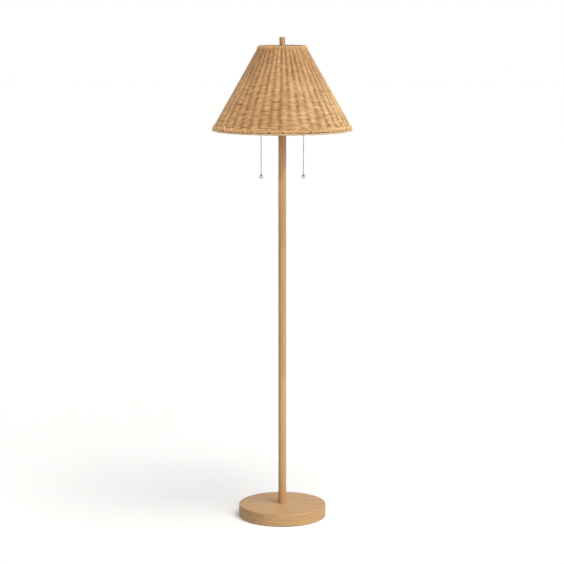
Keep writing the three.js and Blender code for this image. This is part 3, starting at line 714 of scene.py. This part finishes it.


# Tone of each sample. The split down each rib and the grooves between the ribs are painted darker
# as shade, and rows and dashes show more lower down. Bulge is 1 where the strand passes a stake and
# 0 between two stakes
def weaveTones(stakeNumbers, heights, bulge):
    down = (weaveHigh - heights) / (weaveHigh - weaveLow)
    start, end = shade["fade"]
    fade = eased(np.clip((down - start) / (end - start), 0, 1))

    def between(name):
        above, below = shade[name]
        return above + (below - above) * fade

    perTurn = shade["stakes"] * shade["stepsPerStake"]
    lengths = [perTurn * turns for turns in shade["rowTurns"]]
    tones = shade["middleTone"] + strandTones(len(heights), *lengths, -1, 1) * between("rows")
    nearest = np.round(stakeNumbers).astype(int)
    tones += gridAt("rib", nearest, heights) * between("ribs")
    tones += gridAt("bead", stakeNumbers, heights) * between("beads")
    # Painted shade in the split down the middle of each rib
    splitShade = np.clip(gridAt("split", nearest, heights), 0, 1) * between("splitShade")
    tones -= splitShade * (bulge > shade["splitShadeFrom"])
    # Painted shade in the grooves between the ribs, deeper or lighter by groove and by knot
    gaps = stakeNumbers.astype(int)
    grooveShadeDepths = 1 + shade["grooveSpread"] * gridAt("groove", gaps, heights)
    grooveShadeDepths += shade["knotSpread"] * gridAt("knot", gaps, heights)
    tones -= between("grooveShade") * grooveShadeDepths * (1 - bulge) ** shade["grooveShadeEdge"]
    tones += draws.uniform(-1, 1, nearest[-1] + 1)[nearest] * between("arcs")
    lots = draws.uniform(0, 1, nearest[-1] + 1)[nearest]
    palePart, paler = shade["paleDashes"]
    darkPart, darker = shade["darkDashes"]
    dashes = paler * (lots > 1 - palePart) - darker * (lots < darkPart)
    return tones + dashes * (down > shade["dashesFrom"])


def addWeave():
    drop = shade["rowPitch"] * math.cos(shadeLean)
    perStake = shade["stepsPerStake"]
    samples = shade["stakes"] * perStake
    count = int((weaveHigh - weaveLow) / drop * samples)
    angles = np.arange(count) * fullTurn / samples
    heights = weaveHigh - angles / fullTurn * drop
    heights += shade["wobble"] * drift(count, shade["wobbleEvery"])
    stakeNumbers = np.arange(count) / perStake
    phase = math.pi * stakeNumbers + strayAt(stakeNumbers, heights)
    swing = 1 + shade["waveSwing"] * drift(count, shade["swingEvery"])
    radii = shadeRadius(heights) - shade["centreInset"] + shade["wave"] * swing * np.cos(phase)
    tall = shade["strandHeight"] + shade["swell"] * np.cos(phase) ** 2
    rings = strandRings(angles, radii, heights, shade["strandDepth"], tall, shade["strandSides"])
    tones = weaveTones(stakeNumbers, heights, np.abs(np.cos(phase)))
    cuts = np.linspace(0, count - 1, len(shade["bands"]) + 1).astype(int)
    for i, band in enumerate(shade["bands"]):
        part = slice(cuts[i], cuts[i + 1] + 1)
        shape = Shape().addRings(rings[part], tones=tones[part])
        addPiece(shape, f"weave_{band}", "weaver", "shade_weave", "shade", tidied=False)
        print("weave", band, len(shape.faces), "faces")
    addStakes()


def addStakes():
    below, above = shade["stakeEnds"]
    heights = np.linspace(weaveLow - below, weaveHigh + above, shade["stakeSteps"])
    radii = shadeRadius(heights) - shade["centreInset"]
    shape = Shape()
    for i in range(shade["stakes"]):
        shift = strayAt(np.full(len(heights), i), heights) / math.pi
        angles = fullTurn * (i - shift) / shade["stakes"]
        path = aroundPole(radii, angles, heights)
        tones = np.full(len(heights), draws.uniform(*shade["stakeTones"]))
        shape.tube(path, onwardFrom(angles.mean()), shade["stakeRadius"], shade["stakeSides"],
                   tones=tones)
    addPiece(shape, "weave_stakes", "stake", "shade_weave", "shade")


# Borders: ropes that wind round the shade. Level is above the border's lower edge, and spots are
# darker places along a rope: how many, and how dark. All ropes share the last dictionary
plainRound = {"finish": "weaver", "strands": 1, "depth": 0.0003, "height": 0.0003, "steps": 320}
borders = {
    "bottom_border": [
        {"name": "bottom_edge", "finish": "edgeStrand", "level": 0.0032, "radius": 0.2205,
         "strands": 2, "turns": 24, "depth": 0.0009, "height": 0.0009, "strand": 0.002,
         "steps": 480, "tones": (0.45, 0.75)},
        {**plainRound, "name": "bottom_low_round", "level": 0.0094, "radius": 0.2194, "turns": 5,
         "strand": 0.0019, "tones": (0.4, 0.7), "spots": (32, 0.6)},
        {**plainRound, "name": "bottom_middle_round", "level": 0.0132, "radius": 0.2166,
         "turns": 7, "strand": 0.0021, "tones": (0.4, 0.75)},
        {**plainRound, "name": "bottom_high_round", "level": 0.0171, "radius": 0.2144,
         "turns": 6, "strand": 0.0021, "tones": (0.4, 0.7)},
    ],
    "top_border": [
        {"name": "top_rope", "finish": "edgeStrand", "level": 0.0088, "radius": 0.0728,
         "strands": 2, "turns": 12, "depth": 0.0008, "height": 0.0006, "strand": 0.0014,
         "steps": 240, "tones": (0.4, 0.7)},
    ],
}
ropes = {"sides": 8, "samplesPerTone": (30, 110), "toneDrift": 0.08, "driftEvery": 4,
         "spotsFrom": 0.8, "wander": 0.8, "wanderEvery": 20}
# Dark bands behind the ropes, painted near black as the shade seen between them: outer radius and
# level at each corner, and how thick the band is
cores = {
    "bottom_border": ("bottom_shade_band", (
        (0.216, 0.001), (0.216, 0.0078), (0.2108, 0.0197), (0.2072, 0.0245)), 0.0025),
    "top_border": ("top_shade_band", (
        (0.0778, 0.0002), (0.0776, 0.0024), (0.0742, 0.0054), (0.0712, 0.0072)), 0.0012),
}
coreShadeTone, coreEdge = 0.1, 0.0008
# Bundles of stake ends that fold over the shade's edges. Each strand lies so many degrees beside
# the middle of its bundle and leans so many, and places are radius and level along it
folds = {
    "top_border": {
        "name": "top_folds", "count": 41, "strands": ((-1.8, 0), (1.8, 0)), "radius": 0.0023,
        "stray": 0.05, "tones": (0.38, 0.66),
        "places": ((0.0775, -0.002), (0.0776, 0.0008), (0.0773, 0.003), (0.0762, 0.0052),
                   (0.0742, 0.0067), (0.072, 0.0073)),
    },
    "bottom_border": {
        "name": "bottom_folds", "count": 32, "strands": ((0, 4.6), (0, -4.6)), "radius": 0.0018,
        "stray": 0.15, "tones": (0.45, 0.9),
        "places": ((0.213, 0.0212), (0.2148, 0.0188), (0.2176, 0.0158), (0.2196, 0.0125),
                   (0.2206, 0.0092), (0.2204, 0.0052)),
    },
}
topBorderHeight = 0.012
borderLows = {"bottom_border": shadeBottom, "top_border": shadeTop - topBorderHeight}


def addCore(node):
    name, outline, thickness = cores[node]
    low = borderLows[node]
    corners = [(radius, low + level, coreEdge) for radius, level in outline]
    corners += [(radius - thickness, height, edge) for radius, height, edge in corners[::-1]]
    shape = turned(corners, 96)
    # Painted shade: the band's near black tone stands for the shade in the gaps between the ropes
    shape.tones = [coreShadeTone] * len(shape.points)
    addPiece(shape, name, "edgeStrand", node, "shade")


def addRope(node, rope):
    shape = Shape()
    count = rope["steps"]
    angles = evenAngles(count)
    level = borderLows[node] + rope["level"]
    for strand in range(rope["strands"]):
        phase = angles * rope["turns"] + fullTurn * strand / rope["strands"]
        out = rope["depth"] * np.cos(phase)
        up = rope["height"] * np.sin(phase)
        heights = level + up * math.cos(shadeLean) + out * math.sin(shadeLean)
        radii = rope["radius"] + out * math.cos(shadeLean) - up * math.sin(shadeLean)
        rings = strandRings(angles, radii, heights, rope["strand"], rope["strand"], ropes["sides"])
        tones = strandTones(count, *ropes["samplesPerTone"], *rope["tones"])
        tones += ropes["toneDrift"] * drift(count, ropes["driftEvery"])
        if "spots" in rope:
            spots, dark = rope["spots"]
            wander = ropes["wander"] * drift(count, ropes["wanderEvery"])
            tones -= dark * (np.cos(spots * angles + wander) > ropes["spotsFrom"])
        shape.addRings(rings, True, tones=tones)
    addPiece(shape, rope["name"], rope["finish"], node, "shade")


def addFolds(node):
    fold = folds[node]
    profile = throughPlaces(fold["places"], 3)
    along = np.linspace(0, 1, len(profile))
    shape = Shape()
    for i in range(fold["count"]):
        for beside, lean in fold["strands"]:
            bundle = i + fold["stray"] * draws.uniform(-1, 1)
            start = fullTurn * bundle / fold["count"] + math.radians(beside)
            angles = start + math.radians(lean) * (along - 0.5)
            path = aroundPole(profile[:, 0], angles, profile[:, 1] + borderLows[node])
            tones = np.full(len(path), draws.uniform(*fold["tones"]))
            shape.tube(path, onwardFrom(start), fold["radius"], ropes["sides"], tones=tones)
    addPiece(shape, fold["name"], "stake", node, "shade")


def addBorders():
    for node in cores:
        addCore(node)
    for node, ropes in borders.items():
        for rope in ropes:
            addRope(node, rope)
    for node in folds:
        addFolds(node)


# Wire carrier: hub, three arms and top ring, and the ring inside the bottom border. An arm starts
# at radii and rises of its own, and ends at shares of the ring's radius
carrier = {"wire": 0.002, "wireSides": 12, "hubHole": 0.0034, "hubRadius": 0.012,
           "hubHeight": 0.0025, "ringRadius": 0.0722, "ringDrop": 0.0095,
           "arm": 0.0016, "arms": 3, "firstAngle": 90,
           "armStart": ((0.006, 0), (0.012, 0), (0.022, 0.0006)),
           "armEnd": ((0.75, -0.0012), (1, 0))}


def addWireRing(shape, radius, level, steps):
    path = aroundPole(radius, evenAngles(steps), level)
    return shape.tube(path, (0, 0, 1), carrier["wire"], carrier["wireSides"], True)


def addCarrier():
    low = levels("spider")[0]
    high = low + carrier["hubHeight"]
    ringLevel = shadeTop - carrier["ringDrop"]
    ringRadius = carrier["ringRadius"]
    hub = wall(carrier["hubHole"], carrier["hubRadius"], low, high, 0.0003, 0.0008)
    shape = addWireRing(turned(hub, 40), ringRadius, ringLevel, 120)
    places = [(radius, (low + high) / 2 + up) for radius, up in carrier["armStart"]]
    places += [(ringRadius * share, ringLevel + up) for share, up in carrier["armEnd"]]
    profile = throughPlaces(places, 6)
    for i in range(carrier["arms"]):
        angle = math.radians(carrier["firstAngle"]) + fullTurn * i / carrier["arms"]
        path = [(r * math.cos(angle), r * math.sin(angle), z) for r, z in profile]
        shape.tube(path, onwardFrom(angle), carrier["arm"], carrier["wireSides"])
    addPiece(shape, "wire_carrier", "whiteEnamel", "spider", "shade")

    radius = reachOf("bottom_ring") - carrier["wire"]
    ring = addWireRing(Shape(), radius, middleLevel("bottom_ring"), 200)
    addPiece(ring, "lower_wire_ring", "whiteEnamel", "bottom_ring", "shade")


# Cluster on the pole: cup, cover, insert, stem with its collar and thread, and the seat washer
cluster = {
    "radius": 0.017,
    "cup": ((0.0053, "low", 0, 0), (0.017, "low", 0, 0.0022), (0.017, "high", 0, 0.0006),
            (0.0145, "high", 0, 0), (0.0145, "low", 0.004, 0.001), (0.0053, "low", 0.004, 0)),
    "lid": ((0.0053, "low", 0, 0), (0.017, "low", 0, 0.0004), (0.017, "low", 0.0014, 0.0005),
            (0.0136, "high", 0, 0.002), (0.0053, "high", 0, 0.0004)),
    "insert": ((0.0032, "low", 0, 0), (0.0082, "low", 0, 0.0004), (0.0082, "seat", 0, 0),
               (0.012, "seat", 0, 0.0005), (0.012, "seat", 0.0025, 0.0008),
               (0.005, "seat", 0.0025, 0), (0.005, "high", 0, 0.0003), (0.0032, "high", 0, 0)),
    "stem": ((0, "low", 0, 0), (0.005, "low", 0, 0.0005), (0.005, "seat", -0.006, 0),
             (0.008, "seat", -0.006, 0.0007), (0.008, "seat", 0, 0.0007), (0.0031, "seat", 0, 0)),
    "washer": ((0.0034, "low", 0, 0.0002), ("reach", "low", 0, 0.0006),
               ("reach", "high", 0, 0.0006), (0.0034, "high", 0, 0.0002)),
    "thread": (0.0031, 0.0003, 0.001), "threadSink": 0.0005,
}


def addCluster():
    seat = levels("upper_pole")[1] + seatGap
    addTurned("top_insert", "pole_top_insert", "zincSteel", cluster["insert"], 40, seat=seat)
    addTurned("cluster_body", "cluster_cup", "brass", cluster["cup"], 56, 5)
    addTurned("cluster_cover", "cluster_lid", "brass", cluster["lid"], 56, 5)

    seat = levels("seat_washer")[0] - seatGap
    shape = overNode("centre_stem", cluster["stem"], 32, seat=seat)
    threadEnds = seat - cluster["threadSink"], levels("centre_stem")[1]
    shape.addRings(threadRings(*cluster["thread"], *threadEnds, 24, 8))
    addPiece(shape, "stem_rod", "brass", "centre_stem")
    addTurned("seat_washer", "washer_seat", "brass", cluster["washer"], 40, body="shade_seat")


# Arms and lamp holders, made for the right side and turned for the left
arm = {"radius": 0.005, "bend": 0.016, "lockBore": 0.0046, "lockRadius": 0.0082,
       "lockLength": 0.0034}
holder = {"offset": 0.044, "radius": 0.0175, "wall": 0.001, "sides": 48,
          "neck": 0.0085, "bore": 0.0053, "skirt": 0.006,
          "bead": 0.0005, "capBead": 0.0028, "shellBeads": (0.003, 0.008),
          "flare": ((0, 0.003), (0.0006, 0.0012), (0.0007, 0)),
          "sleeve": ((0.0151, "switch", 0.0004, 0), (0.0158, "switch", 0.0004, 0),
                     (0.0158, "high", 0.0008, 0.0002), (0.0151, "high", 0.0008, 0.0002)),
          "screwWall": 0.0009, "screwLip": 0.0005, "screwLipHeight": 0.001}
holderAt = (holder["offset"], 0, 0)


def addArm(side):
    low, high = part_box("right_arm")
    level = low.z + arm["radius"]
    start = holder["offset"] - arm["bend"]
    path = [(low.x, 0, level), (start, 0, level)]
    path += [(start + along, 0, level + up) for along, up in quarterBend(arm["bend"], 12)]
    path.append((holder["offset"], 0, high.z))
    shape = Shape().tube(path, (0, 1, 0), arm["radius"], 24)
    lock = wall(arm["lockBore"], arm["lockRadius"], 0, arm["lockLength"], 0, 0.0006)
    lockLow = levels("right_holder_cap")[0] - arm["lockLength"]
    shape.join(turned(lock, 32, at=(holder["offset"], 0, lockLow)))
    shape.join(turned(lock, 32).laid("x", (cluster["radius"], 0, level)))
    addOnSide(side, shape, "bent_arm", "brass", "arm")


# A thin turned shell: its outer line, offset inwards by the wall for the inside
def shellShape(outer):
    outer = np.asarray(outer, float)
    runs = np.gradient(outer, axis=0)
    runs /= np.linalg.norm(runs, axis=1, keepdims=True)
    inner = outer + holder["wall"] * np.stack([-runs[:, 1], runs[:, 0]], axis=1)
    profile = np.vstack([outer, inner[::-1]])
    return Shape().revolve(profile, holder["sides"], True, holderAt)


def beadLine(level):
    radius, size = holder["radius"], holder["bead"]
    return [(radius + size * math.sin(math.pi * share), level + 2 * size * (2 * share - 1))
            for share in np.linspace(0, 1, 7)]


def addHolder(side):
    radius, neck = holder["radius"], holder["neck"]
    low, high = levels("right_holder_cap")
    rise = high - low - holder["skirt"]
    outer = [(holder["bore"], low), (neck, low)]
    outer += [(neck + (radius - neck) * out, low + rise * up) for out, up in quarterBend(1, 8)]
    outer += beadLine(high - holder["capBead"]) + [(radius, high)]
    addOnSide(side, shellShape(outer), "cap", "brass", "holder_cap", crease=50)

    low, high = levels("right_holder_shell")
    firstBead, lastBead = holder["shellBeads"]
    outer = [(radius, low)] + beadLine(low + firstBead) + beadLine(high - lastBead)
    outer += [(radius + out, high - down) for out, down in holder["flare"]]
    addOnSide(side, shellShape(outer), "shell", "brass", "holder_shell", crease=50)

    sleeve = overNode("right_holder_shell", holder["sleeve"], holder["sides"], 2, holderAt,
                      switch=levels("right_switch_body")[1])
    addOnSide(side, sleeve, "sleeve", "brownPaper")

    low, high = levels("right_screw_shell")
    outside = reachOf("right_screw_shell") - holder["offset"]
    inside = outside - holder["screwWall"]
    corners = [(inside, low, 0), (outside, low, 0),
               (outside, high - holder["screwLipHeight"], 0.0003),
               (outside + holder["screwLip"], high, 0.0002), (inside, high, 0.0003)]
    screw = turned(corners, holder["sides"], 2, holderAt)
    addOnSide(side, screw, "screw_sleeve", "brass", "screw_shell")


# Bell mouth that guides the chain. Its outline goes out along the outside and back along the
# inside: how far off the bore, at what share of the length and how far beyond that
bell = {"bore": 0.0022, "outline": (
    (0.0011, 0, 0), (0.0011, 0.35, 0), (0.0016, 0.68, 0), (0.0027, 0.95, 0), (0.0028, 1, 0),
    (0.0021, 1, 0.0003), (0.0005, 0.7, 0), (0, 0.35, 0), (0, 0, 0))}


def addBellMouth(side):
    low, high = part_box("right_bell_mouth")
    length = high.x - low.x
    places = [(bell["bore"] + off, length * share + beyond)
              for off, share, beyond in bell["outline"]]
    shape = Shape().revolve(throughPlaces(places, 3), 28, True)
    shape.laid("x", (low.x, 0, middleLevel("right_bell_mouth")))
    addOnSide(side, shape, "bell", "brass", "bell_mouth", crease=60)


# Pull chains: beads on short links, a coupling and a ball
chain = {"bead": 0.0017, "sides": 12, "rings": 8, "pitch": 0.004, "link": 0.00045, "linkSides": 6,
         "feedBend": (0.55, 0.12), "feedEnd": 0.006,
         "coupling": ((0.8, 0), (1, 0.0012)), "couplingEdge": 0.0006}
ball = {"seam": 0.00018, "seamWidth": 0.035, "topAngle": 0.3,
        "eye": ((0.0021, -0.0001), (0.0021, 0.0009), (0.0014, 0.0012), (0, 0.0012))}


def beadRun(places):
    shape = Shape()
    for place in places:
        shape.ball(place, chain["bead"], chain["sides"], chain["rings"])
    for ends in zip(places, places[1:]):
        shape.tube(ends, (0, 1, 0), chain["link"], chain["linkSides"])
    return shape


def hangingBeads(node):
    low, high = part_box(node)
    count = round((high.z - low.z) / chain["pitch"])
    return beadRun([((low.x + high.x) / 2, 0, high.z - chain["pitch"] * (i + 0.5))
                    for i in range(count)])


def addChain(side):
    low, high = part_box("right_first_bead")
    pivot = ((low.x + high.x) / 2, 0, (low.z + high.z) / 2)
    feedLevel = middleLevel("right_bell_mouth")
    drop = pivot[2] - feedLevel
    out, down = chain["feedBend"]
    places = [(pivot[0] + drop * out, 0, feedLevel + drop * down)]
    while places[-1][0] > holder["offset"] + chain["feedEnd"]:
        places.append((places[-1][0] - chain["pitch"], 0, feedLevel))
    addOnSide(side, beadRun(places), "feed_beads", "polishedSteel", "chain_feed")
    eye = beadRun([pivot])
    addOnSide(side, eye, "eye_bead", "polishedSteel", "first_bead", f"{side}_chain_eye")

    upper = hangingBeads("right_upper_chain")
    run = addOnSide(side, upper, "upper_beads", "polishedSteel", "upper_chain", None)
    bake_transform(run)

    pull = f"{side}_pull"
    lower = hangingBeads("right_lower_chain")
    addOnSide(side, lower, "lower_beads", "polishedSteel", "lower_chain", pull)

    low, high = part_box("right_connector")
    radius, edge = (high.x - low.x) / 2, chain["couplingEdge"]
    half = [(radius * share, inset) for share, inset in chain["coupling"]]
    corners = [(0, low.z, 0)] + [(r, low.z + inset, edge) for r, inset in half]
    corners += [(r, high.z - inset, edge) for r, inset in half[::-1]] + [(0, high.z, 0)]
    shape = turned(corners, 20, at=(pivot[0], 0, 0))
    addOnSide(side, shape, "coupling", "polishedSteel", "connector", pull)

    low, high = levels("right_pull_ball")
    middle, radius = (low + high) / 2, (high - low) / 2
    profile = []
    for turn in np.linspace(-math.pi / 2, math.pi / 2 - ball["topAngle"], 30):
        reach = radius - ball["seam"] * math.exp(-(turn / ball["seamWidth"]) ** 2)
        profile.append((reach * math.cos(turn), middle + reach * math.sin(turn)))
    profile += [(r, high + up) for r, up in ball["eye"]]
    shape = Shape().revolve(profile, 40, at=(pivot[0], 0, 0))
    addOnSide(side, shape, "ball", "brightSteel", "pull_ball", pull, 50)


# Bulbs: frosted glass on a threaded cap. Profile: radii at shares of the glass's height
bulb = {
    "profile": [(0.0117, 0.0), (0.0119, 0.09), (0.0148, 0.2), (0.0215, 0.37), (0.0277, 0.51),
                (0.03, 0.66), (0.0282, 0.81), (0.021, 0.93), (0.0105, 0.988), (0.0, 1.0)],
    "threadPitch": 0.00363, "threadDepth": 0.0009, "contact": 0.0046, "tipHeight": 0.005,
    "lip": 0.0121, "lipEdge": 0.0003, "lipSink": 0.0001, "sides": 48,
}


def addBulb(side):
    low, high = levels("right_bulb_glass")
    places = [(radius, low + share * (high - low)) for radius, share in bulb["profile"]]
    profile = [(0, places[0][1])] + list(throughPlaces(places, 4))
    glass = Shape().revolve(profile, bulb["sides"], at=holderAt)
    addOnSide(side, glass, "bulb_envelope", "frostedGlass", "bulb_glass", f"{side}_bulb", 60)

    low, high = levels("right_bulb_base")
    radius = reachOf("right_bulb_base") - holder["offset"]
    start = low + bulb["tipHeight"]
    thread = radius, bulb["threadDepth"], bulb["threadPitch"], start, high, bulb["sides"], 12
    cap = Shape().addRings(threadRings(*thread) + holderAt, caps=False)
    cap.revolve([(0, low), (bulb["contact"], low), (radius, start)], bulb["sides"], at=holderAt)
    lipLevel = high - bulb["lipSink"]
    lip = [(radius, high), (radius - bulb["lipEdge"], lipLevel), (bulb["lip"], lipLevel)]
    cap.revolve(lip, bulb["sides"], at=holderAt)
    addOnSide(side, cap, "bulb_cap_thread", "zincSteel", "bulb_base", f"{side}_bulb_cap", 60)


# CAD solids that stay as they are, hidden inside the lamp, by finish
kept = {
    "zincSteel": ["base_stud", "base_washer", "base_nut", "foot_insert", "lower_coupler",
                  "upper_coupler"],
    "castIron": ["base_weight"],
    "brass": ["finial_insert"],
}
keptOnSides = {"arm_lead": "leadJacket", "switch_body": "darkPlastic", "drum": "brass",
               "contact": "brass"}


def dressKept():
    chosen = [(name, finish) for finish, names in kept.items() for name in names]
    chosen += [(f"{side}_{name}", finish)
               for side in sides for name, finish in keptOnSides.items()]
    for name, finish in chosen:
        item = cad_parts[name]
        item.data.materials.clear()
        item.data.materials.append(finishes[finish])


# Studio: white floor, two broad suns on the right, two small soft lamps that are aimed at the shade
# from both sides, and a dim plain surround
studio = {
    "floorSize": 60.0,
    "floorLevel": -0.0002,
    "floorColour": (0.85, 0.85, 0.85),
    "floorGlow": 0.3,
    "white": (1.0, 1.0, 1.0),
    "surround": 0.1,
    "sunColour": (1.0, 0.985, 0.955),
    "suns": [
        {"name": "low_lamp", "turn": 36, "rise": 27, "strength": 1.46, "spread": 48},
        {"name": "high_lamp", "turn": 46, "rise": 66, "strength": 1.85, "spread": 33},
    ],
    "shadeLamps": [
        {"name": "left_lamp", "place": (-1.45, -1.0, 2.4), "aim": (-0.19, -0.1, 1.35),
         "power": 0.09, "colour": (1.0, 0.93, 0.84)},
        {"name": "right_lamp", "place": (1.6, -0.3, 2.1), "aim": (0.21, -0.06, 1.325),
         "power": 0.14, "colour": (0.68, 0.92, 1.0)},
    ],
    "shadeLampSize": 0.25,
    "shadeLampSpread": 12,
}


# One where the camera, a reflection or a clear material looks at the backdrop, else zero
def seenRays(recipe):
    seen, glossy, clear = [recipe.node("ShaderNodeLightPath", output=f"Is {ray} Ray")
                           for ray in ("Camera", "Glossy", "Transmission")]
    return seen | glossy | clear


def addFloor():
    half = studio["floorSize"] / 2
    mesh = bpy.data.meshes.new("floor")
    corners = [(-half, -half, 0), (half, -half, 0), (half, half, 0), (-half, half, 0)]
    mesh.from_pydata(corners, [], [(0, 1, 2, 3)])
    floor = addItem("floor", mesh)
    floor.location.z = studio["floorLevel"]
    recipe = newRecipe("floor")
    glow = {"Emission_Color": studio["white"],
            "Emission_Strength": seenRays(recipe) * studio["floorGlow"]}
    finish = recipe.finish(studio["floorColour"], 1.0, Specular_IOR_Level=0.0, **glow)
    mesh.materials.append(finish)


def addLamp(lamp, kind, direction, axis, **settings):
    light = bpy.data.lights.new(lamp["name"], kind)
    for name, value in settings.items():
        setattr(light, name, value)
    item = addItem(lamp["name"], light)
    item.rotation_euler = direction.to_track_quat(axis, "Y").to_euler()
    return item


def addLamps():
    for lamp in studio["suns"]:
        turn, rise, spread = [math.radians(lamp[name]) for name in ("turn", "rise", "spread")]
        out = math.cos(rise)
        source = Vector((math.sin(turn) * out, -math.cos(turn) * out, math.sin(rise)))
        addLamp(lamp, "SUN", source, "Z", energy=lamp["strength"], angle=spread,
                color=studio["sunColour"])
    for lamp in studio["shadeLamps"]:
        direction = Vector(lamp["aim"]) - Vector(lamp["place"])
        item = addLamp(lamp, "AREA", direction, "-Z", energy=lamp["power"], shape="DISK",
                       size=studio["shadeLampSize"], color=lamp["colour"],
                       spread=math.radians(studio["shadeLampSpread"]))
        item.location = lamp["place"]
        item.visible_camera = False


def addSurround():
    world = bpy.data.worlds.new("studio")
    scene.world = world
    recipe = Recipe(world)
    recipe.tree.nodes.clear()
    soft, plain = [
        recipe.node("ShaderNodeBackground", None, {"Color": studio["white"], "Strength": strength})
        for strength in (studio["surround"], 1.0)]
    both = recipe.node("ShaderNodeMixShader", None, {0: seenRays(recipe), 1: soft, 2: plain})
    recipe.node("ShaderNodeOutputWorld", None, {"Surface": both})


addBase()
addBushing()
addPoleAndFinial()
print("base and pole made")
addWeave()
addBorders()
addCarrier()
print("shade made")
addCluster()
for side in sides:
    addArm(side)
    addHolder(side)
    addBellMouth(side)
    addChain(side)
    addBulb(side)
dressKept()
print("fittings made")
addFloor()
addLamps()
addSurround()
print("studio made")
